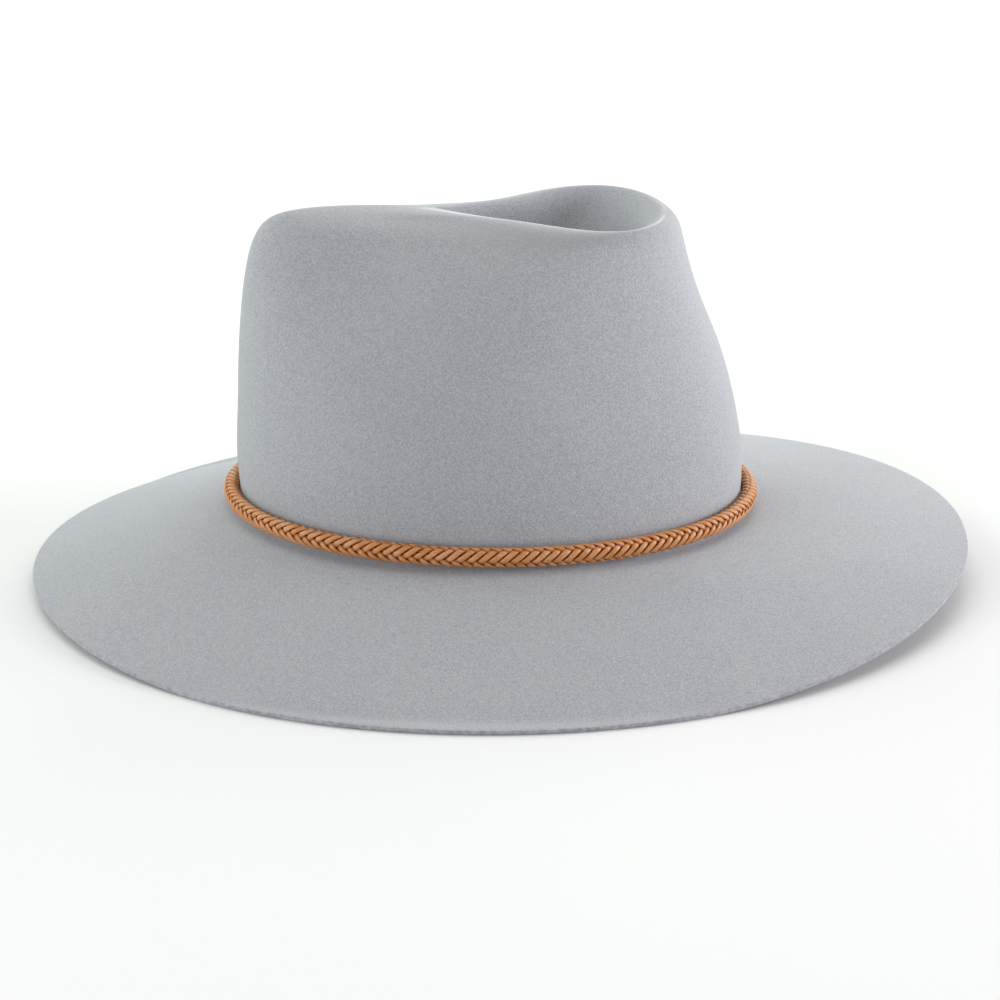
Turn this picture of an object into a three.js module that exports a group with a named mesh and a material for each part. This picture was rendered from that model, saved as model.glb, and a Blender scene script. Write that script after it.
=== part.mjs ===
// Flat brim fedora: one felt body with a wide brim and a pinched teardrop crown, and a round braided
// leather band held round the foot of the crown by a plain leather sleeve over its two ends.
// Millimetres, +Z up. The wearer looks along -Y, the wearer's left is +X, and the brim rests on Z = 0.
// The origin is under the middle of the brim.
import * as THREE from 'three';

// Felt and band
const FELT = 2.0; // thickness of the felt
const BREAK_HEIGHT = 34.0; // height of the band's centre line over the floor, at the sides
const BRAID = { out: 3.2, up: 3.75 }; // half the braid's thickness, pressed a little flat on the crown
const CROWN_GAP = 0.5; // air between the braid and the crown
const BRIM_GAP = 1.8; // air between the braid and the brim
const SEAT = { out: BRAID.out + CROWN_GAP, up: BRAID.up + BRIM_GAP }; // the bend between brim and crown
const SLEEVE = { out: 3.6, up: 4.05 };
const SLEEVE_LENGTH = 26.0;
const SLEEVE_OUTSET = 0.6; // the sleeve's centre line lies this far outside the band's
const SLEEVE_ANGLE = 232; // degrees round the crown from the front: behind the wearer's right ear
const BUTT_GAP = 0.4; // air between the sleeve and each end of the braid

// Details of the creases and the brim
const PINCH_WIDTH = 0.45; // how far round the section a side hollow spreads, as a cosine
const BRIM_FLARE = 0.1; // how much steeper the brim gets toward its edge
const BRIM_SHARES = [1, 0.955, 0.8, 0.6, 0.4, 0.2, 0.08]; // places of the brim's rings, 1 at its edge
const BEND_TURNS = [1.42, 1.28, 1.14, 1]; // half turns round the braid, from under it to its inner side

// Fineness of the faceted surfaces
const AROUND = 72;
const BAND_SIDES = 10;

// Sections of the felt, each one a ring. front, back and half are its reach ahead of, behind and
// beside the crown's axis, taper narrows its front from an oval (0) to a teardrop (1), and pinch
// squeezes it at the two side hollows, which lie at the cosine pinchAt round it. zFront, zSide and
// zBack are heights over the band's centre line, lean is how much higher it is on the wearer's left,
// and rings is the number of mesh rings from this section to the next.
const SHAPE = ['front', 'back', 'half', 'taper', 'pinch', 'pinchAt', 'zFront', 'zSide', 'zBack', 'lean'];
const COLUMNS = [...SHAPE, 'rings'];
const section = (row) => Object.fromEntries(COLUMNS.map((name, i) => [name, row[i]]));
const BRIM_EDGE = section([189.5, 190.5, 178, 0, 0, 0.6, -28.4, -34.2, -18.1, 0, 1]);
const BAND_LINE = section([108.6, 102.0, 88.0, 0, 0, 0.6, 2.2, 0, -2.8, 0, 1]);
const CROWN = [
  // front, back, half, taper, pinch, pinchAt, zFront, zSide, zBack, lean, rings
  [106.3, 98.6, 84.4, 0, 0, 0.6, 18, 16, 14, 0, 1],
  [105.4, 94.9, 81.4, 0.03, 0, 0.6, 37, 36, 36, 0, 1],
  [104.6, 88.8, 76.6, 0.08, 0.03, 0.6, 57, 57, 57.5, 0, 1],
  [103.2, 80.2, 70, 0.2, 0.07, 0.6, 76, 76, 78, 0, 1],
  [101, 75.2, 61.8, 0.38, 0.18, 0.55, 93, 93.5, 93, 0.5, 1],
  [97.6, 72.8, 54.5, 0.5, 0.28, 0.45, 106, 104, 102.5, 1, 1],
  [92.2, 71.4, 50.5, 0.6, 0.33, 0.35, 113.6, 108.6, 107.5, 1.5, 1],
  [80, 69.2, 46.8, 0.82, 0.46, 0.32, 117.5, 111, 111, 1.8, 2],
  [32, 64.5, 41.5, 0.955, 0.22, 0.3, 116.6, 113.2, 114.4, 0, 2],
  [22, 59, 37, 0.93, 0.2, 0.3, 114.2, 110.9, 112, 0, 1],
  [12, 53, 29, 0.8, 0.1, 0.3, 101, 99.5, 99.5, 0, 1],
  [-2, 48, 17, 0.5, 0, 0.25, 91, 88.5, 88, 0, 1],
].map(section);
const FOOT_RINGS = 2;
const DENT_FLOOR = new THREE.Vector3(0, 27, BREAK_HEIGHT + 85.5);

// The largest value of sin u * (1 - taper * (1 + cos u) / 2), so that half is the true half width.
function widest(taper) {
  const rise = 1 - taper / 2;
  const c = -taper / (rise + Math.sqrt(rise * rise + 2 * taper * taper));
  return Math.sqrt(1 - c * c) * (1 - (taper * (1 + c)) / 2);
}

// A point of a section's ring, u radians round from the front toward the wearer's left.
function onSection(at, u) {
  const c = Math.cos(u);
  const ahead = (at.front - at.back) / 2 + ((at.front + at.back) / 2) * c;
  const squeeze = 1 - at.pinch * Math.exp(-(((c - at.pinchAt) / PINCH_WIDTH) ** 2));
  const outline = (Math.sin(u) * (1 - (at.taper * (1 + c)) / 2)) / widest(at.taper);
  const tilt = (at.zFront - at.zBack) / 2;
  const bow = (at.zFront + at.zBack) / 2 - at.zSide;
  const height = at.zSide + tilt * c + bow * c * c + at.lean * Math.sin(u);
  return new THREE.Vector3(at.half * outline * squeeze, -ahead, BREAK_HEIGHT + height);
}

// The section that lies out from another by a distance, and up from it.
function beside(at, out, up) {
  return {
    ...at,
    front: at.front + out,
    back: at.back + out,
    half: at.half + out,
    zFront: at.zFront + up,
    zSide: at.zSide + up,
    zBack: at.zBack + up,
  };
}

// A straight blend of two sections.
function between(a, b, share) {
  return Object.fromEntries(COLUMNS.map((key) => [key, a[key] + (b[key] - a[key]) * share]));
}

// A Catmull-Rom blend of the same point on four rings, from the second ring to the third.
function through(p, a, b, q, share) {
  const blend = (w, x, y, z) => {
    const [slope, square, cube] = [y - w, 2 * w - 5 * x + 4 * y - z, 3 * (x - y) + z - w];
    return x + 0.5 * (slope * share + square * share ** 2 + cube * share ** 3);
  };
  return new THREE.Vector3(blend(p.x, a.x, b.x, q.x), blend(p.y, a.y, b.y, q.y), blend(p.z, a.z, b.z, q.z));
}

// Rings of the felt's outer side, from the brim's edge up the crown and down into the dent.
function feltRings(angles) {
  const ringOf = (at) => angles.map((u) => onSection(at, u));
  const rings = [];
  const bendEnd = Math.PI * BEND_TURNS[0];
  const brimStart = beside(BAND_LINE, SEAT.out * Math.cos(bendEnd), SEAT.up * Math.sin(bendEnd));
  for (const share of BRIM_SHARES) {
    const flat = between(brimStart, BRIM_EDGE, share);
    const sloped = between(brimStart, BRIM_EDGE, share * (1 - BRIM_FLARE) + share * share * BRIM_FLARE);
    rings.push(ringOf({ ...flat, zFront: sloped.zFront, zSide: sloped.zSide, zBack: sloped.zBack }));
  }
  for (const turn of BEND_TURNS) {
    const angle = Math.PI * turn;
    rings.push(ringOf(beside(BAND_LINE, SEAT.out * Math.cos(angle), SEAT.up * Math.sin(angle))));
  }
  const foot = rings.at(-1);
  const middle = angles.map(() => DENT_FLOOR.clone());
  const rows = [foot, foot, ...CROWN.map(ringOf), middle, middle];
  const counts = [FOOT_RINGS, ...CROWN.map((at) => at.rings)];
  counts.forEach((count, i) => {
    for (let step = 1; step <= count; step += 1) {
      const [before, from, to, after] = rows.slice(i, i + 4);
      rings.push(angles.map((_, k) => through(before[k], from[k], to[k], after[k], step / count)));
    }
  });
  rings.pop();
  return rings;
}

// One closed body from rings of points between two poles, each ring closed on itself.
function closedShell(firstPole, rings, lastPole) {
  const count = rings[0].length;
  const points = [firstPole, ...rings.flat(), lastPole];
  const last = points.length - 1;
  const index = [];
  for (let k = 0; k < count; k += 1) {
    const next = (k + 1) % count;
    index.push(0, 1 + next, 1 + k);
    for (let ring = 0; ring + 1 < rings.length; ring += 1) {
      const here = 1 + ring * count;
      const there = here + count;
      index.push(here + k, here + next, there + next, here + k, there + next, there + k);
    }
    const final = 1 + (rings.length - 1) * count;
    index.push(last, final + k, final + next);
  }
  const geometry = new THREE.BufferGeometry();
  const values = points.flatMap((p) => [p.x, p.y, p.z]);
  geometry.setAttribute('position', new THREE.Float32BufferAttribute(values, 3));
  geometry.setIndex(index);
  geometry.computeVertexNormals();
  return geometry;
}

// The felt's two sides: the outer one as the sections give it, the inner one a thickness below it,
// along a direction taken over a few rings, which rounds it inside the creases. Where the brim
// rests, both are flattened against the floor.
function feltGeometry() {
  const angles = Array.from({ length: AROUND }, (_, k) => (2 * Math.PI * k) / AROUND);
  const outer = feltRings(angles);
  const inner = outer.map((ring, r) =>
    ring.map((point, k) => {
      const along = ring[(k + 1) % AROUND].clone().sub(ring[(k + AROUND - 1) % AROUND]);
      const outward = outer[Math.max(r - 2, 0)][k];
      const inward = r + 2 < outer.length ? outer[r + 2][k] : DENT_FLOOR;
      const normal = along.cross(inward.clone().sub(outward)).normalize();
      return point.clone().addScaledVector(normal, -FELT);
    }),
  );
  for (const point of outer.flat()) point.z = Math.max(point.z, FELT);
  for (const point of inner.flat()) point.z = Math.max(point.z, 0);
  const innerPole = DENT_FLOOR.clone();
  innerPole.z -= FELT;
  return closedShell(innerPole, [...inner.reverse(), ...outer], DENT_FLOOR);
}

// A bar of oval section along the band's line between two angles, its ends closed flat.
function barGeometry(half, outset, from, to, steps) {
  const line = beside(BAND_LINE, outset, 0);
  const centres = [];
  const rings = [];
  for (let i = 0; i <= steps; i += 1) {
    const u = from + ((to - from) * i) / steps;
    const centre = onSection(line, u);
    const along = onSection(line, u + 0.01).sub(onSection(line, u - 0.01)).normalize();
    const side = new THREE.Vector3(0, 0, 1).cross(along).normalize();
    const up = along.clone().cross(side);
    const ring = Array.from({ length: BAND_SIDES }, (_, k) => {
      const turn = (2 * Math.PI * k) / BAND_SIDES;
      return centre
        .clone()
        .addScaledVector(side, half.out * Math.cos(turn))
        .addScaledVector(up, half.up * Math.sin(turn));
    });
    centres.push(centre);
    rings.push(ring);
  }
  return closedShell(centres[0], rings, centres.at(-1));
}

// Half the angle that a length along the band covers at the sleeve's place.
function halfAngle(length) {
  const u = THREE.MathUtils.degToRad(SLEEVE_ANGLE);
  const perRadian = onSection(BAND_LINE, u + 0.005).distanceTo(onSection(BAND_LINE, u - 0.005)) / 0.01;
  return length / 2 / perRadian;
}

function named(name, geometry, color, roughness) {
  const mesh = new THREE.Mesh(geometry, new THREE.MeshStandardMaterial({ color, roughness, metalness: 0 }));
  mesh.name = name;
  return mesh;
}

const sleeveAt = THREE.MathUtils.degToRad(SLEEVE_ANGLE);
const sleeveHalf = halfAngle(SLEEVE_LENGTH);
const braidHalf = halfAngle(SLEEVE_LENGTH + 2 * BUTT_GAP);

const braid = barGeometry(BRAID, 0, sleeveAt + braidHalf, sleeveAt + 2 * Math.PI - braidHalf, AROUND);
const sleeve = barGeometry(SLEEVE, SLEEVE_OUTSET, sleeveAt - sleeveHalf, sleeveAt + sleeveHalf, 6);

const hat = new THREE.Group();
hat.add(named('felt_hat', feltGeometry(), 0xa6a9ae, 0.95));
hat.add(named('braid_band', braid, 0xb5793f, 0.55));
hat.add(named('band_sleeve', sleeve, 0xa56b36, 0.5));

export default hat;
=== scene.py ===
"""A flat brim fedora of grey felt with a round braided leather band, resting on a pale floor."""

import math

import bmesh
import bpy
import numpy as np
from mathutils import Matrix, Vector


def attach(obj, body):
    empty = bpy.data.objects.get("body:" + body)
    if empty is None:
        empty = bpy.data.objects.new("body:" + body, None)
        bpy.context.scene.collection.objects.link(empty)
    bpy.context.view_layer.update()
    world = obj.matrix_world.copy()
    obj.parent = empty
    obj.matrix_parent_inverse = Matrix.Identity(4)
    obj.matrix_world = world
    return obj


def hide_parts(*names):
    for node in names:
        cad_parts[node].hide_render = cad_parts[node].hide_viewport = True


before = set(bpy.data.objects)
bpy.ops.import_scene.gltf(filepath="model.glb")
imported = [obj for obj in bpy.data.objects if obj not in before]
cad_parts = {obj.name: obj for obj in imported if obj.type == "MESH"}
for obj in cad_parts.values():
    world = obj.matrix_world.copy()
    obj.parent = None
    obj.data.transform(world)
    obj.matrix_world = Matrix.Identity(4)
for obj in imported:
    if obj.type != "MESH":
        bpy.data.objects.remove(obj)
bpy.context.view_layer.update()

# Camera
# A long lens looks a little down on the hat's left side, from slightly ahead of it.
BREAK_HEIGHT = 0.034  # the band's centre line over the floor, where the brim breaks from the crown
CAMERA_DISTANCE = 1.16
CAMERA_AZIMUTH = math.radians(80)
CAMERA_ELEVATION = math.radians(18.5)
CAMERA_AIM = (0, 0, 0.027)
CAMERA_NEAR, CAMERA_FAR = 0.05, 50
PICTURE_WIDTH = 1000  # in pixels
FOCAL_PIXELS = 2851
SENSOR = 36.0


def put(name, data):
    """A new object in the scene, at the origin."""
    made = bpy.data.objects.new(name, data)
    bpy.context.scene.collection.objects.link(made)
    return made


def aim(thing, spot):
    """Turns a camera or a light to face a spot."""
    thing.rotation_euler = (Vector(spot) - thing.location).to_track_quat("-Z", "Y").to_euler()


camera_data = bpy.data.cameras.new("camera")
camera_data.sensor_width = SENSOR
camera_data.lens = FOCAL_PIXELS * SENSOR / PICTURE_WIDTH
camera_data.clip_start, camera_data.clip_end = CAMERA_NEAR, CAMERA_FAR
camera = put("camera", camera_data)
bpy.context.scene.camera = camera
sideways = Vector((math.sin(CAMERA_AZIMUTH), -math.cos(CAMERA_AZIMUTH), 0)) * math.cos(CAMERA_ELEVATION)
upward = Vector((0, 0, math.sin(CAMERA_ELEVATION)))
camera.location = Vector((0, 0, BREAK_HEIGHT)) + CAMERA_DISTANCE * (sideways + upward)
aim(camera, CAMERA_AIM)

# Felt hat
# The body is one piece of fur felt, blocked over a form: a crown with a pinched teardrop crease on
# top and a wide brim that runs out nearly flat and dips along both sides. Its edge is cut raw, about
# 2 mm thick, and the felt lies flat on the floor where the brim rests.
MM = 0.001
FELT = 2.0  # sizes of the hat are in millimetres until its meshes are made
BRAID_HALF = (3.3, 3.85)  # half the braid's thickness, out from the crown and up
SEAT = (BRAID_HALF[0] + 0.2, BRAID_HALF[1] + 1.75)  # the bend behind and under the braid
AROUND = 300
BRIM_RINGS = 44
BRIM_WIDTH = 85  # from the band to the edge, roughly
BRIM_FLARE = 0.1
BEND_RINGS = 10
BEND_TURNS = (1.42, 1.0)  # half turns round the braid, from under it to its inner side
FOOT_RINGS = 6
PINCH_WIDTH = 0.45
NORMAL_REACH = 3  # rings and points on either side that a normal is taken over
IRONING = 6  # rounds of smoothing on the crown
EDGE_INSET = 0.8  # where the cut edge's rounded profile begins, in from the edge
EDGE_POINTS = 9
EDGE_BLUNT = 0.5  # under 1, the profile is squarer than round
FROM_FRONT = np.arange(AROUND) * 2 * math.pi / AROUND  # the rings' angles, toward the wearer's left

# A section is how far its ring reaches to the front, the back and the sides, its taper and its pinch
# and where that lies, its height over the band's line in front, at the sides and at the back, its
# lean, and the rings up to it from the section before.
BRIM_EDGE = np.array([189.5, 190.5, 178, 0, 0, 0.6, -28.4, -34.2, -18.1, 0, 1])
BAND_LINE = np.array([108.6, 102.0, 88.0, 0, 0, 0.6, 2.2, 0, -2.8, 0, 1])
CROWN = np.array([
    [106.3, 98.6, 84.4, 0, 0, 0.6, 18, 16, 14, 0, 6],
    [105.4, 94.9, 81.4, 0.03, 0, 0.6, 37, 36, 36, 0, 6],
    [104.6, 88.8, 76.6, 0.08, 0.03, 0.6, 57, 57, 57.5, 0, 6],
    [103.2, 80.2, 70, 0.2, 0.07, 0.6, 76, 76, 78, 0, 6],
    [101, 75.2, 61.8, 0.38, 0.18, 0.55, 93, 93.5, 93, 0.5, 6],
    [97.6, 72.8, 54.5, 0.5, 0.28, 0.45, 106, 104, 102.5, 1, 5],
    [92.2, 71.4, 50.5, 0.6, 0.33, 0.35, 113.6, 108.6, 107.5, 1.5, 5],
    [80, 69.2, 46.8, 0.82, 0.46, 0.32, 117.5, 111, 111, 1.8, 8],
    [32, 64.5, 41.5, 0.955, 0.22, 0.3, 116.6, 113.2, 114.4, 0, 6],
    [22, 59, 37, 0.93, 0.2, 0.3, 114.2, 110.9, 112, 0, 6],
    [12, 53, 29, 0.8, 0.1, 0.3, 101, 99.5, 99.5, 0, 6],
    [-2, 48, 17, 0.5, 0, 0.25, 91, 88.5, 88, 0, 6],
])
DENT_FLOOR = np.array([0, 27, BREAK_HEIGHT / MM + 85.5])

# Where a pale highlight is painted along the dent's sharp rim, and where shade is painted on the felt beside
# it
CREST_RINGS_BACK = 24.2  # from the dent's floor
CREST_WIDTH = 0.8
CREST_FROM, CREST_FADE = 0.3, 0.2  # on the wearer's left only, by the sine of the angle from the front
# The darker felt here is painted shade
SHOULDER_RINGS = 8  # from the crest out to the middle of the darker felt
SHOULDER_WIDTH = 6.0
SHOULDER_AT, SHOULDER_SPREAD = -0.1, 0.45  # at both sides, by the cosine of the angle from the front

# Colours and finish of the felt
DARK_CLOUD, PALE_CLOUD = (0.328, 0.334, 0.358, 1), (0.352, 0.36, 0.38, 1)
DARK_HAIR, PALE_HAIR = (0.276, 0.281, 0.303, 1), (0.44, 0.444, 0.467, 1)
# Painted shade on the crown's upper sides, beside the dent's rim
SHOULDER_SHADE_GREY, SHOULDER_SHADE_SHARE = (0.2, 0.202, 0.215, 1), 0.58
# A painted highlight along the dent's rim, on the wearer's left only
CREST_HIGHLIGHT_GREY = (0.66, 0.655, 0.65, 1)
DARK_CUT, PALE_CUT = (0.28, 0.272, 0.305, 1), (0.42, 0.41, 0.445, 1)
NAP, CLUMPS, CLOUDS = (1500, 3, 0.65), (500, 3, 0.6), (28, 3, 0.55)  # scale, detail and roughness
NAP_SHARE = 0.85  # of the grain, the rest is clumps
NOISE_ENDS = (0.3, 0.7)  # nearly all of a noise lies between these
FELT_BUMPS = 0.00025
FELT_FINISH = {
    "Roughness": 0.95, "Specular IOR Level": 0.15,
    "Sheen Weight": 0.45, "Sheen Roughness": 0.35, "Sheen Tint": (0.93, 0.98, 1.0, 1),
}


def widest(taper):
    """The largest value of sin u * (1 - taper * (1 + cos u) / 2)."""
    rise = 1 - taper / 2
    c = -taper / (rise + math.sqrt(rise * rise + 2 * taper * taper))
    return math.sqrt(1 - c * c) * (1 - taper * (1 + c) / 2)


def ring(section, u):
    """The points of one section's ring, at angles u round from the front toward the wearer's left."""
    front, back, half, taper, pinch, pinch_at, z_front, z_side, z_back, lean, _ = section
    c = np.cos(u)
    ahead = (front - back) / 2 + (front + back) / 2 * c
    squeeze = 1 - pinch * np.exp(-(((c - pinch_at) / PINCH_WIDTH) ** 2))
    outline = np.sin(u) * (1 - taper * (1 + c) / 2) / widest(taper)
    height = z_side + (z_front - z_back) / 2 * c + ((z_front + z_back) / 2 - z_side) * c * c
    height = height + lean * np.sin(u)
    return np.stack([half * outline * squeeze, -ahead, BREAK_HEIGHT / MM + height], -1)


def beside(section, out, up):
    """The section that lies out from another by a distance, and up from it."""
    moved = section.copy()
    moved[:3] += out
    moved[6:9] += up
    return moved


def bend(turn):
    """The section of the bend behind and under the braid, at a number of half turns round the braid."""
    angle = math.pi * turn
    return beside(BAND_LINE, SEAT[0] * math.cos(angle), SEAT[1] * math.sin(angle))


def through(before, start, end, after, share):
    """Rings between two rings, on smooth curves through the same point of four rings.
    The curves are timed by the distances between the points, so uneven rings make no waves."""
    def gap(a, b):
        return np.maximum(np.linalg.norm(b - a, axis=-1, keepdims=True), 1e-6) ** 0.5

    t1 = gap(before, start)
    t2 = t1 + gap(start, end)
    t3 = t2 + gap(end, after)
    t = t1 + (t2 - t1) * share
    a1 = (t1 - t) / t1 * before + t / t1 * start
    a2 = (t2 - t) / (t2 - t1) * start + (t - t1) / (t2 - t1) * end
    a3 = (t3 - t) / (t3 - t2) * end + (t - t2) / (t3 - t2) * after
    b1 = (t2 - t) / t2 * a1 + t / t2 * a2
    b2 = (t3 - t) / (t3 - t1) * a2 + (t - t1) / (t3 - t1) * a3
    return (t2 - t) / (t2 - t1) * b1 + (t - t1) / (t2 - t1) * b2


def felt_top():
    """Rings of the felt's upper side, from near the brim's edge up the crown and down into the dent."""
    brim_start = bend(BEND_TURNS[0])
    rings = []
    for share in np.linspace(1 - EDGE_INSET / BRIM_WIDTH, 0, BRIM_RINGS + 1)[:-1]:
        flat = brim_start + (BRIM_EDGE - brim_start) * share
        fall = share * (1 - BRIM_FLARE) + share * share * BRIM_FLARE
        flat[6:9] = brim_start[6:9] + (BRIM_EDGE[6:9] - brim_start[6:9]) * fall
        rings.append(ring(flat, FROM_FRONT))
    rings += [ring(bend(turn), FROM_FRONT) for turn in np.linspace(*BEND_TURNS, BEND_RINGS)]
    floor = np.tile(DENT_FLOOR, (AROUND, 1))
    crown = [ring(section, FROM_FRONT) for section in CROWN]
    rows = [rings[-2], rings[-1], *crown, floor, 2 * floor - crown[-1]]
    counts = [FOOT_RINGS, *CROWN[:, 10].astype(int)]
    for k, count in enumerate(counts):
        for step in range(1, count + 1):
            rings.append(through(*rows[k : k + 4], step / count))
    return np.array(rings[:-1])


def normals_of(rings, reach):
    """Unit normals of a surface of closed rings, each taken over a few rings and a few points."""
    along = np.roll(rings, -reach, 1) - np.roll(rings, reach, 1)
    last = len(rings) - 1
    ahead = np.array([rings[min(r + reach, last)] - rings[max(r - reach, 0)] for r in range(len(rings))])
    normal = np.cross(along, ahead)
    return normal / np.linalg.norm(normal, axis=-1, keepdims=True)


def smoothed(rings, rounds):
    """The rings with small waves rubbed out, the first ones and the last one kept."""
    for _ in range(rounds):
        middle = rings[1:-1]
        ironed = (rings[:-2] + rings[2:] + np.roll(middle, 1, 1) + np.roll(middle, -1, 1)) / 4
        rings = np.concatenate([rings[:1], middle + 0.5 * (ironed - middle), rings[-1:]])
    return rings


def shell_faces(count, around):
    """Quads between closed rings that follow each other, and triangles to a pole at each end."""
    faces = []
    last = 1 + count * around
    for k in range(around):
        n = (k + 1) % around
        faces.append((0, 1 + n, 1 + k))
        for r in range(count - 1):
            here, there = 1 + r * around, 1 + (r + 1) * around
            faces.append((here + k, here + n, there + n, there + k))
        final = 1 + (count - 1) * around
        faces.append((last, final + k, final + n))
    return faces


def face_out(mesh, shortest=0.0):
    """Turns a closed mesh's faces outward, after it dissolves edges under a length, if one is given."""
    work = bmesh.new()
    work.from_mesh(mesh)
    if shortest:
        bmesh.ops.dissolve_degenerate(work, dist=shortest, edges=work.edges)
    bmesh.ops.recalc_face_normals(work, faces=work.faces)
    work.to_mesh(mesh)
    work.free()


def mesh_piece(name, points, faces, material):
    """A smooth shaded object at the origin, its points in metres and its faces outward."""
    mesh = bpy.data.meshes.new(name)
    mesh.from_pydata([tuple(p) for p in points], [], faces)
    face_out(mesh)
    mesh.materials.append(material)
    mesh.polygons.foreach_set("use_smooth", [True] * len(mesh.polygons))
    return put(name, mesh)


def felt_points():
    """The felt's whole skin as points, the number of its rings, and each point's shares of three tones: the
    cut edge's own tone, a painted highlight and a painted shade.
    The rings run from the dent's inner side down to the cut edge and back up on the upper side."""
    top = felt_top()
    foot = BRIM_RINGS + BEND_RINGS + 2
    top = np.concatenate([top[:foot], smoothed(top[foot:], IRONING)])
    under = (top - FELT * normals_of(top, NORMAL_REACH))[::-1]
    top[..., 2] = np.maximum(top[..., 2], FELT)
    under[..., 2] = np.maximum(under[..., 2], 0)
    outward = top[0] - top[1]
    outward /= np.linalg.norm(outward, axis=-1, keepdims=True)
    middle, half = (top[0] + under[-1]) / 2, (top[0] - under[-1]) / 2
    edge = []
    for angle in np.linspace(-90, 90, EDGE_POINTS + 2)[1:-1]:
        c, s = math.cos(math.radians(angle)), math.sin(math.radians(angle))
        height = math.copysign(abs(s) ** EDGE_BLUNT, s)
        edge.append(middle + outward * EDGE_INSET * c**EDGE_BLUNT + half * height)
    rings = np.concatenate([under, np.array(edge), top])
    points = np.concatenate([[DENT_FLOOR - [0, 0, FELT]], rings.reshape(-1, 3), [DENT_FLOOR]])

    cut = np.zeros(len(rings))
    cut[len(under) : len(under) + len(edge)] = 1
    from_crest = np.arange(len(rings)) - (len(rings) - CREST_RINGS_BACK)
    # A painted highlight along the dent's rim
    crest_highlight = np.exp(-((from_crest / CREST_WIDTH) ** 2))
    near_crest = np.clip((np.sin(FROM_FRONT) - CREST_FROM) / CREST_FADE, 0, 1)
    # Painted shade on the crown's upper sides, beside the rim
    painted_shoulder_shade = np.exp(-(((from_crest + SHOULDER_RINGS) / SHOULDER_WIDTH) ** 2))
    near_shoulder = np.exp(-(((np.cos(FROM_FRONT) - SHOULDER_AT) / SHOULDER_SPREAD) ** 2))
    tones = {
        "cut": np.outer(cut, np.ones(AROUND)),
        "crest_highlight": np.outer(crest_highlight, near_crest),
        "painted_shoulder_shade": np.outer(painted_shoulder_shade, near_shoulder),
    }
    tones = {name: np.concatenate([[0], shares.ravel(), [0]]) for name, shares in tones.items()}
    return points, len(rings), tones


class Wire:
    """A socket of a node tree. Sums and products of wires add the tree's Math nodes."""

    def __init__(self, tree, socket=None):
        self.tree = tree
        self.socket = socket

    def node(self, kind, settings=(), inputs=(), output=0):
        """Adds a node, sets its settings and then its sockets, and gives the wire of one output."""
        made = self.tree.nodes.new(kind)
        for name, value in dict(settings).items():
            setattr(made, name, value)
        for key, value in dict(inputs).items():
            if isinstance(value, Wire):
                value.feed(made.inputs[key])
            else:
                made.inputs[key].default_value = value
        return Wire(self.tree, made.outputs[output])

    def other(self, output):
        """The wire of another output of the same node."""
        return Wire(self.tree, self.socket.node.outputs[output])

    def feed(self, socket):
        """Links this wire to a socket."""
        self.tree.links.new(self.socket, socket)

    def math(self, operation, *values):
        return self.node("ShaderNodeMath", {"operation": operation}, enumerate((self, *values)))

    def vector(self, operation, *values):
        return self.node("ShaderNodeVectorMath", {"operation": operation}, enumerate((self, *values)))

    def scaled(self, size):
        """This vector, made longer or shorter by a number."""
        return self.node("ShaderNodeVectorMath", {"operation": "SCALE"}, {0: self, "Scale": size})

    def mix(self, start, end):
        """A colour between two, by this wire."""
        inputs = {0: self, 6: start, 7: end}
        return self.node("ShaderNodeMix", {"data_type": "RGBA", "clamp_factor": True}, inputs, 2)

    def stretch(self, low, high):
        """This wire's values from low to high brought to 0 and 1, and held between them."""
        ends = {"Value": self, "From Min": low, "From Max": high}
        return self.node("ShaderNodeMapRange", {"clamp": True}, ends)

    def noise(self, scale, detail, roughness):
        """Noise over the places that this wire gives."""
        inputs = {"Vector": self, "Scale": scale, "Detail": detail, "Roughness": roughness}
        return self.node("ShaderNodeTexNoise", (), inputs)

    def share(self, name):
        """The share of a tone that the mesh keeps for each of its points."""
        return self.node("ShaderNodeAttribute", {"attribute_name": name}, (), "Fac")

    def __add__(self, other):
        return self.math("ADD", other)

    def __sub__(self, other):
        return self.math("SUBTRACT", other)

    def __rsub__(self, other):
        return self.node("ShaderNodeMath", {"operation": "SUBTRACT"}, {0: other, 1: self})

    def __mul__(self, other):
        return self.math("MULTIPLY", other)

    def __truediv__(self, other):
        return self.math("DIVIDE", other)

    def __rtruediv__(self, other):
        return self.node("ShaderNodeMath", {"operation": "DIVIDE"}, {0: other, 1: self})

    __radd__ = __add__
    __rmul__ = __mul__


def new_material(name):
    """A material with an empty Principled surface, and the wire that starts its tree."""
    material = bpy.data.materials.new(name)
    material.use_nodes = True
    return material, material.node_tree.nodes["Principled BSDF"], Wire(material.node_tree)


def cover(surface, color, grain, bump_size, finish):
    """Gives a surface its colour, the bumps of its grain, and the numbers of its finish."""
    bump = grain.node("ShaderNodeBump", (), {"Strength": 0.4, "Distance": bump_size, "Height": grain})
    color.feed(surface.inputs["Base Color"])
    bump.feed(surface.inputs["Normal"])
    for name, value in finish.items():
        surface.inputs[name].default_value = value


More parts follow.
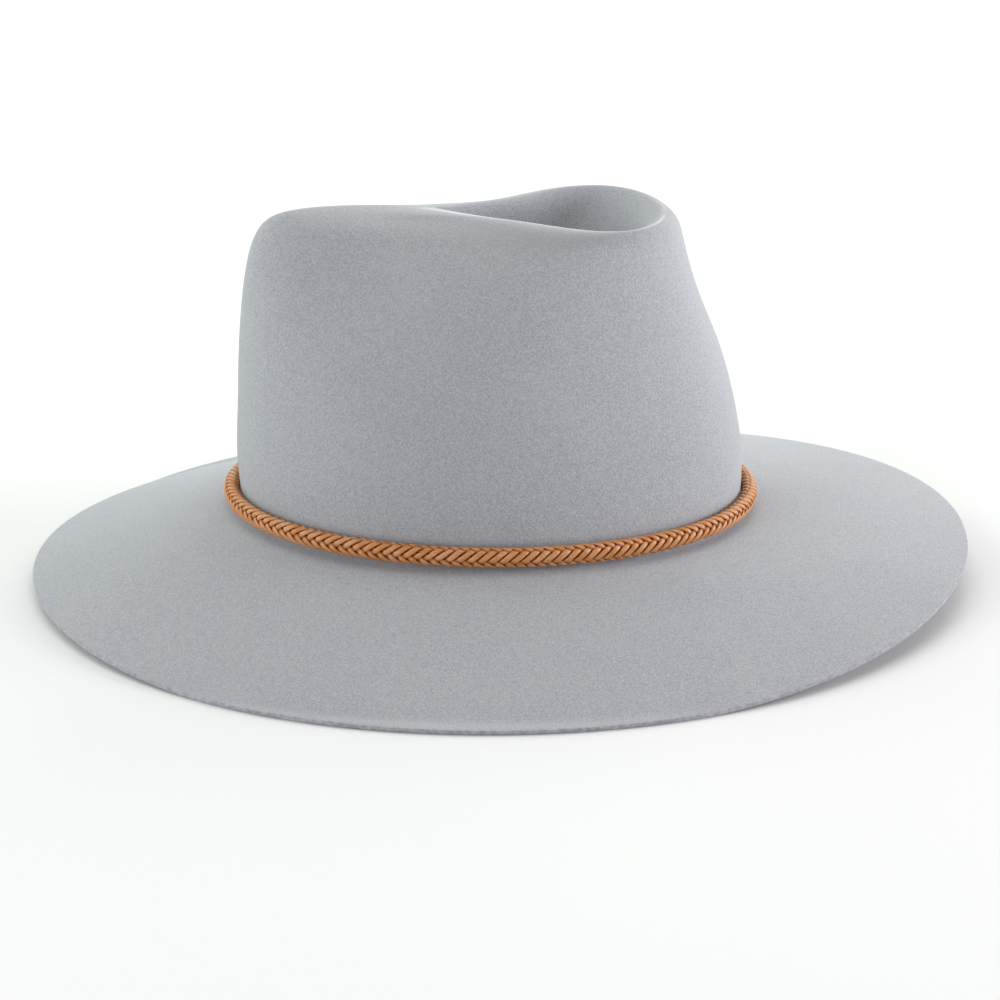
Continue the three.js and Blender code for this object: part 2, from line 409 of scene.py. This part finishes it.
def felt_material():
    """Grey fur felt: a short nap with fine pale and dark hairs, faint clouds of tone and a soft sheen, with
    a painted highlight along the dent's rim and painted shade beside it.
    """
    material, surface, start = new_material("grey_fur_felt")
    place = start.node("ShaderNodeTexCoord", output="Object")
    nap, clumps, clouds = place.noise(*NAP), place.noise(*CLUMPS), place.noise(*CLOUDS)
    grain = nap.stretch(*NOISE_ENDS) * NAP_SHARE + clumps.stretch(*NOISE_ENDS) * (1 - NAP_SHARE)
    tone = clouds.stretch(*NOISE_ENDS).mix(DARK_CLOUD, PALE_CLOUD)
    pale = grain.stretch(0.4, 0.9).mix(tone, PALE_HAIR)
    color = grain.stretch(0.0, 0.45).mix(DARK_HAIR, pale)
    # The painted shade on the crown's upper sides
    color = (start.share("painted_shoulder_shade") * SHOULDER_SHADE_SHARE).mix(color, SHOULDER_SHADE_GREY)
    # The painted highlight along the dent's rim
    color = start.share("crest_highlight").mix(color, CREST_HIGHLIGHT_GREY)
    rough_cut = clumps.stretch(0.35, 0.65).mix(DARK_CUT, PALE_CUT)
    color = start.share("cut").mix(color, rough_cut)
    cover(surface, color, grain, FELT_BUMPS, FELT_FINISH)
    return material


points, ring_count, tones = felt_points()
felt_body = mesh_piece("felt_body", points * MM, shell_faces(ring_count, AROUND), felt_material())
for name, shares in tones.items():
    felt_body.data.attributes.new(name, "FLOAT", "POINT").data.foreach_set("value", shares)
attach(felt_body, "root")
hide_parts("felt_hat")

# Braided band
# A round braid of twelve flat leather laces, tan and lightly waxed, plaited over three and under three,
# so that it has four columns of slanting laces. It goes once round the foot of the crown, and rolls
# slowly along its way.
SLEEVE_ANGLE = math.radians(232)  # round the crown from the front: behind the wearer's right ear
SLEEVE_LENGTH = 26.0
TUCK = 3.0  # how far each end of the braid runs into the sleeve
NUDGE = 0.005  # a small angle on the band's line, to measure it by
PATH_POINTS = 361
LACES = 12  # half of them go round the braid one way, and half the other way
BRAID_PITCH = 24.0  # along the braid, for one turn of a lace round it
LACE_WIDTH = 2.05
LACE_THICKNESS = 1.0
LACE_BLUNT = 0.68  # under 1, a lace's profile is squarer than an oval
LACE_STEPS = 1000
LACE_SIDES = 8
ROLL = math.radians(-265)  # of the whole braid, from one end of it to the other
ROLL_MIDDLE = 0.575  # where along the braid the roll is nothing
FACING_COLUMN = math.radians(26)  # up from the braid's outer side to the middle of the column that faces out
WAVES = 180  # of unevenness in a metre of lace
WAVES_APART = 31  # from one lace's waves to the next one's
UNEVEN_WIDTH = 0.3
UNEVEN_TURN = 0.14
SHORTEST_EDGE = 1e-7  # in metres

# The darkest tan darkens the grain, and on the laces it is painted shade where they lie deep
GRAIN_AND_SHADE_TAN, MID_TAN, LIGHT_TAN = (0.33, 0.09, 0.008), (0.49, 0.172, 0.024), (0.62, 0.31, 0.155)
LEATHER_GRAIN, LEATHER_DYE = (2600, 2, 0.6), (190, 3, 0.6)
LEATHER_BUMPS = 0.00015
LEATHER_FINISH = {"Roughness": 0.42, "Specular IOR Level": 0.5}


def half_angle(length):
    """Half the angle that a length along the band covers at the sleeve's place."""
    ends = ring(BAND_LINE, np.array([SLEEVE_ANGLE - NUDGE, SLEEVE_ANGLE + NUDGE]))
    return length / 2 / (np.linalg.norm(ends[1] - ends[0]) / (2 * NUDGE))


def braid_path():
    """The braid's centre line as an object of points and edges, in metres."""
    reach = half_angle(SLEEVE_LENGTH - 2 * TUCK)
    u = np.linspace(SLEEVE_ANGLE + reach, SLEEVE_ANGLE + 2 * math.pi - reach, PATH_POINTS)
    mesh = bpy.data.meshes.new("braid_path")
    edges = [(k, k + 1) for k in range(PATH_POINTS - 1)]
    mesh.from_pydata([tuple(p) for p in ring(BAND_LINE, u) * MM], edges, [])
    return put("braid_path", mesh)


def braid_tree():
    """A node tree that plaits twelve laces along the path it is given."""
    tree = bpy.data.node_groups.new("round_braid", "GeometryNodeTree")
    face = tree.interface
    face.new_socket("Geometry", in_out="INPUT", socket_type="NodeSocketGeometry")
    for name in ("Pitch", "Lace Width", "Lace Thickness", "Half Out", "Half Up", "Column", "Roll"):
        face.new_socket(name, in_out="INPUT", socket_type="NodeSocketFloat")
    for name in ("Steps", "Sides"):
        face.new_socket(name, in_out="INPUT", socket_type="NodeSocketInt")
    face.new_socket("Material", in_out="INPUT", socket_type="NodeSocketMaterial")
    face.new_socket("Geometry", in_out="OUTPUT", socket_type="NodeSocketGeometry")
    given = tree.nodes.new("NodeGroupInput")
    start = Wire(tree)
    value = {socket.name: Wire(tree, socket) for socket in given.outputs if socket.name}
    number = {"data_type": "FLOAT", "domain": "POINT"}
    vector = {"data_type": "FLOAT_VECTOR", "domain": "POINT"}

    # One flat grid for each lace, joined in one mesh, which knows its lace and each point's place on it
    curve = start.node("GeometryNodeMeshToCurve", (), {"Mesh": value["Geometry"]})
    length = start.node("GeometryNodeCurveLength", (), {"Curve": curve})
    laces = start.node("GeometryNodeMeshLine", (), {"Count": LACES, "Offset": (0, 0, 0)})
    index = start.node("GeometryNodeInputIndex")
    stored = {"Geometry": laces, "Name": "lace", "Value": index}
    laces = start.node("GeometryNodeStoreNamedAttribute", number, stored)
    counts = {"Vertices X": value["Steps"], "Vertices Y": value["Sides"]}
    grid = start.node("GeometryNodeMeshGrid", (), counts, "Mesh")
    stored = {"Geometry": grid, "Name": "place", "Value": grid.other("UV Map")}
    blank = start.node("GeometryNodeStoreNamedAttribute", vector, stored)
    copies = start.node("GeometryNodeInstanceOnPoints", (), {"Points": laces, "Instance": blank})
    joined = start.node("GeometryNodeRealizeInstances", (), {"Geometry": copies})

    # Where each point lies: along the braid, round it, and across the lace's own profile
    lace = start.node("GeometryNodeInputNamedAttribute", {"data_type": "FLOAT"}, {"Name": "lace"})
    place = start.node("GeometryNodeInputNamedAttribute", {"data_type": "FLOAT_VECTOR"}, {"Name": "place"})
    along = place.node("ShaderNodeSeparateXYZ", (), {0: place}, "X")
    turn = along.other("Y") * (2 * math.pi)
    second_half = lace.math("GREATER_THAN", LACES / 2 - 0.5)
    way = 1 - second_half * 2
    shift = second_half * value["Column"] * 2
    ends = (along.math("MINIMUM", 1 - along) * value["Steps"]).math("MINIMUM", 1.0)
    cosine, sine = turn.math("COSINE"), turn.math("SINE")
    blunt_cosine = cosine.math("SIGN") * cosine.math("ABSOLUTE").math("POWER", LACE_BLUNT)
    blunt_sine = sine.math("SIGN") * sine.math("ABSOLUTE").math("POWER", LACE_BLUNT)
    wide = blunt_cosine * value["Lace Width"] * ends / 2
    thick = blunt_sine * value["Lace Thickness"] * ends / 2
    middle_radius = (value["Half Out"] + value["Half Up"] - value["Lace Thickness"]) / 2
    per_length = 2 * math.pi / value["Pitch"]
    climb = middle_radius * per_length
    slope = (climb * climb + 1).math("SQRT")
    core = way * along * length * per_length + lace * (2 * math.pi / (LACES / 2)) + shift
    waves = {"W": along * length * WAVES + lace * WAVES_APART, "Scale": 1.0, "Detail": 1.0}
    uneven = start.node("ShaderNodeTexNoise", {"noise_dimensions": "1D"}, waves) - 0.5
    wide = wide * (1 + uneven * UNEVEN_WIDTH)
    core = core + uneven * UNEVEN_TURN
    run = along * length - way * wide * climb / slope
    spin = core + wide / slope / middle_radius

    # Over three laces and under three: a lace lies high in its own columns and low in the others, and
    # it dives along the edge of the lace that crosses it
    crossing = core + wide * (1 - climb * climb) / slope / middle_radius / 2
    wave = ((crossing - value["Column"]) * 2).math("COSINE") * 2
    lift = way * wave.math("MAXIMUM", -1.0).math("MINIMUM", 1.0) * value["Lace Thickness"] / 2
    inset = lift + thick - value["Lace Thickness"]
    spin = spin + value["Roll"] * (along - ROLL_MIDDLE)
    sampled = {"Curves": curve, "Length": run}
    spot = start.node("GeometryNodeSampleCurve", {"mode": "LENGTH"}, sampled, "Position")
    tangent = spot.other("Tangent")
    out = tangent.vector("CROSS_PRODUCT", (0, 0, 1)).vector("NORMALIZE")
    up = out.vector("CROSS_PRODUCT", tangent)
    spot = spot.vector("ADD", out.scaled((value["Half Out"] + inset) * spin.math("COSINE")))
    spot = spot.vector("ADD", up.scaled((value["Half Up"] + inset) * spin.math("SINE")))

    # The laces laid in their places, each point with its depth in the braid, by which shade is painted on
    # the laces where they lie deep
    stored = {"Geometry": joined, "Name": "depth", "Value": 0 - inset / value["Lace Thickness"]}
    marked = start.node("GeometryNodeStoreNamedAttribute", number, stored)
    laid = start.node("GeometryNodeSetPosition", (), {"Geometry": marked, "Position": spot})
    merged = start.node("GeometryNodeMergeByDistance", (), {"Geometry": laid, "Distance": 1e-6})
    smooth = start.node("GeometryNodeSetShadeSmooth", (), {"Geometry": merged})
    done = start.node("GeometryNodeSetMaterial", (), {"Geometry": smooth, "Material": value["Material"]})
    done.feed(tree.nodes.new("NodeGroupOutput").inputs[0])
    return tree


def leather_material(name, dark_grain_and_shade, mid, light, depth=None):
    """Tan leather, lightly waxed: a fine grain and uneven dye, and painted shade where it lies deep, when a
    depth is given.
    """
    material, surface, start = new_material(name)
    place = start.node("ShaderNodeTexCoord", output="Object")
    grain, dye = place.noise(*LEATHER_GRAIN), place.noise(*LEATHER_DYE)
    color = dye.stretch(*NOISE_ENDS).mix((*mid, 1), (*light, 1))
    color = grain.stretch(0.25, 0.5).mix((*dark_grain_and_shade, 1), color)
    # Painted shade: darker where the leather lies deep under the other laces
    if depth:
        color = start.share(depth).stretch(0.2, 0.62).mix(color, (*dark_grain_and_shade, 1))
    cover(surface, color, grain, LEATHER_BUMPS, LEATHER_FINISH)
    return material


lace_material = leather_material("waxed_tan_lace", GRAIN_AND_SHADE_TAN, MID_TAN, LIGHT_TAN, "depth")
path = braid_path()
modifier = path.modifiers.new("round_braid", "NODES")
modifier.node_group = braid_tree()
sizes = {
    "Pitch": BRAID_PITCH * MM, "Lace Width": LACE_WIDTH * MM, "Lace Thickness": LACE_THICKNESS * MM,
    "Half Out": BRAID_HALF[0] * MM, "Half Up": BRAID_HALF[1] * MM, "Column": FACING_COLUMN, "Roll": ROLL,
    "Steps": LACE_STEPS, "Sides": LACE_SIDES + 1, "Material": lace_material,
}
for item in modifier.node_group.interface.items_tree:
    if item.in_out == "INPUT" and item.name in sizes:
        modifier[item.identifier] = sizes[item.name]
evaluated = path.evaluated_get(bpy.context.evaluated_depsgraph_get())
braid_mesh = bpy.data.meshes.new_from_object(evaluated)
bpy.data.objects.remove(path)
face_out(braid_mesh, SHORTEST_EDGE)
braid = put("braided_band", braid_mesh)
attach(braid, "root")
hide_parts("braid_band")

# Sleeve of the band
# A short tube of the same leather, pushed over the two ends of the braid on the hat's far side and
# pressed shut on them. Its mouths are open round the braid.
SLEEVE_HALF = (3.6, 4.05)
SLEEVE_OUTSET = 0.6  # of its centre line from the braid's
SLEEVE_WALL = 0.3
SLEEVE_AROUND = 48
SLEEVE_STEPS = 40
MOUTH_DEPTH = 4.0
LIP_ANGLES = (80, 40, 0, -40, -80)
LIP_LENGTH = 0.6
PRESS_DEPTH, PRESS_WIDTH = 0.12, 0.8  # the shallow groove round each end
PRESS_INSET = 2.5  # from the mouth
SLEEVE_TANS = (0.2, 0.07, 0.02), (0.36, 0.14, 0.045), (0.45, 0.2, 0.07)


def sleeve_points():
    """The tube's skin as rings, from inside one mouth over the outside into the other, in metres."""
    line = beside(BAND_LINE, SLEEVE_OUTSET, 0)
    end = SLEEVE_LENGTH / 2
    reach = half_angle(SLEEVE_LENGTH)
    turn = np.arange(SLEEVE_AROUND) * 2 * math.pi / SLEEVE_AROUND
    lip = SLEEVE_WALL / 2
    first = [(-end + MOUTH_DEPTH, SLEEVE_WALL)]
    first += [(-end + lip - lip * math.cos(a), lip + lip * math.sin(a)) for a in np.radians(LIP_ANGLES)]
    second = [(-x, depth) for x, depth in reversed(first)]
    outside = [(x, 0.0) for x in np.linspace(-end + LIP_LENGTH, end - LIP_LENGTH, SLEEVE_STEPS)]
    rings = []
    for x, depth in first + outside + second:
        u = SLEEVE_ANGLE + reach * x / end
        depth = depth + PRESS_DEPTH * math.exp(-(((abs(x) - end + PRESS_INSET) / PRESS_WIDTH) ** 2))
        before, centre, after = ring(line, np.array([u - 2 * NUDGE, u, u + 2 * NUDGE]))
        along = (after - before) / np.linalg.norm(after - before)
        out = np.cross(along, [0, 0, 1])
        out /= np.linalg.norm(out)
        up = np.cross(out, along)
        a, b = SLEEVE_HALF[0] - depth, SLEEVE_HALF[1] - depth
        rings.append(centre + a * np.cos(turn)[:, None] * out + b * np.sin(turn)[:, None] * up)
    rings = np.array(rings)
    return np.concatenate([[rings[0].mean(0)], rings.reshape(-1, 3), [rings[-1].mean(0)]]) * MM, len(rings)


points, ring_count = sleeve_points()
sleeve_material = leather_material("waxed_tan_sleeve", *SLEEVE_TANS)
sleeve = mesh_piece("leather_sleeve", points, shell_faces(ring_count, SLEEVE_AROUND), sleeve_material)
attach(sleeve, "root")
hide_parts("band_sleeve")

# Studio
# A plain pale floor, wide soft lights on every side but the camera's and above, and a background
# that looks white but lights the hat only weakly.
FLOOR_SIZE = 2.8
FLOOR_COLOR = (0.8, 0.8, 0.8, 1)
FLOOR_ROUGHNESS = 0.9
LIGHT_AIM = (0, 0, 0.08)
SKY_COLOR = (1, 1, 1, 1)
SKY_SEEN = 1.0  # the background's brightness as it is seen
SKY_LIGHT = 0.14  # and as it lights the hat

half = FLOOR_SIZE / 2
corners = [(-half, -half, 0), (half, -half, 0), (half, half, 0), (-half, half, 0)]
floor_mesh = bpy.data.meshes.new("floor")
floor_mesh.from_pydata(corners, [], [(0, 1, 2, 3)])
floor_material, floor_surface, _ = new_material("pale_floor")
floor_surface.inputs["Base Color"].default_value = FLOOR_COLOR
floor_surface.inputs["Roughness"].default_value = FLOOR_ROUGHNESS
floor_mesh.materials.append(floor_material)
floor = put("floor", floor_mesh)


def soft_light(name, place, size, power, color=(1, 1, 1)):
    """A square soft light at a place, with a power in watts, facing the hat."""
    data = bpy.data.lights.new(name, "AREA")
    data.shape = "SQUARE"
    data.size, data.energy, data.color = size, power, color
    light = put(name, data)
    light.location = place
    aim(light, LIGHT_AIM)


soft_light("right_light", (0.45, 1.85, 0.38), 1.2, 47, (0.975, 0.975, 1.0))
soft_light("front_light", (0.95, -1.7, 0.7), 1.5, 27, (0.96, 0.985, 1.0))
soft_light("back_light", (-1.8, 0.2, 1.2), 1.6, 7)
soft_light("back_right_light", (-1.3, 1.3, 0.9), 1.6, 17, (0.97, 1.0, 0.95))
soft_light("back_left_light", (-1.3, -1.3, 0.9), 1.6, 20, (0.88, 1.0, 0.91))
soft_light("top_light", (-0.3, 0, 2.1), 2.0, 21, (1.0, 0.98, 0.96))

world = bpy.data.worlds.new("studio")
world.use_nodes = True
background = world.node_tree.nodes["Background"]
background.inputs["Color"].default_value = SKY_COLOR
seen = Wire(world.node_tree).node("ShaderNodeLightPath", output="Is Camera Ray")
(seen * (SKY_SEEN - SKY_LIGHT) + SKY_LIGHT).feed(background.inputs["Strength"])
bpy.context.scene.world = world
bpy.context.scene.view_settings.view_transform = "Standard"
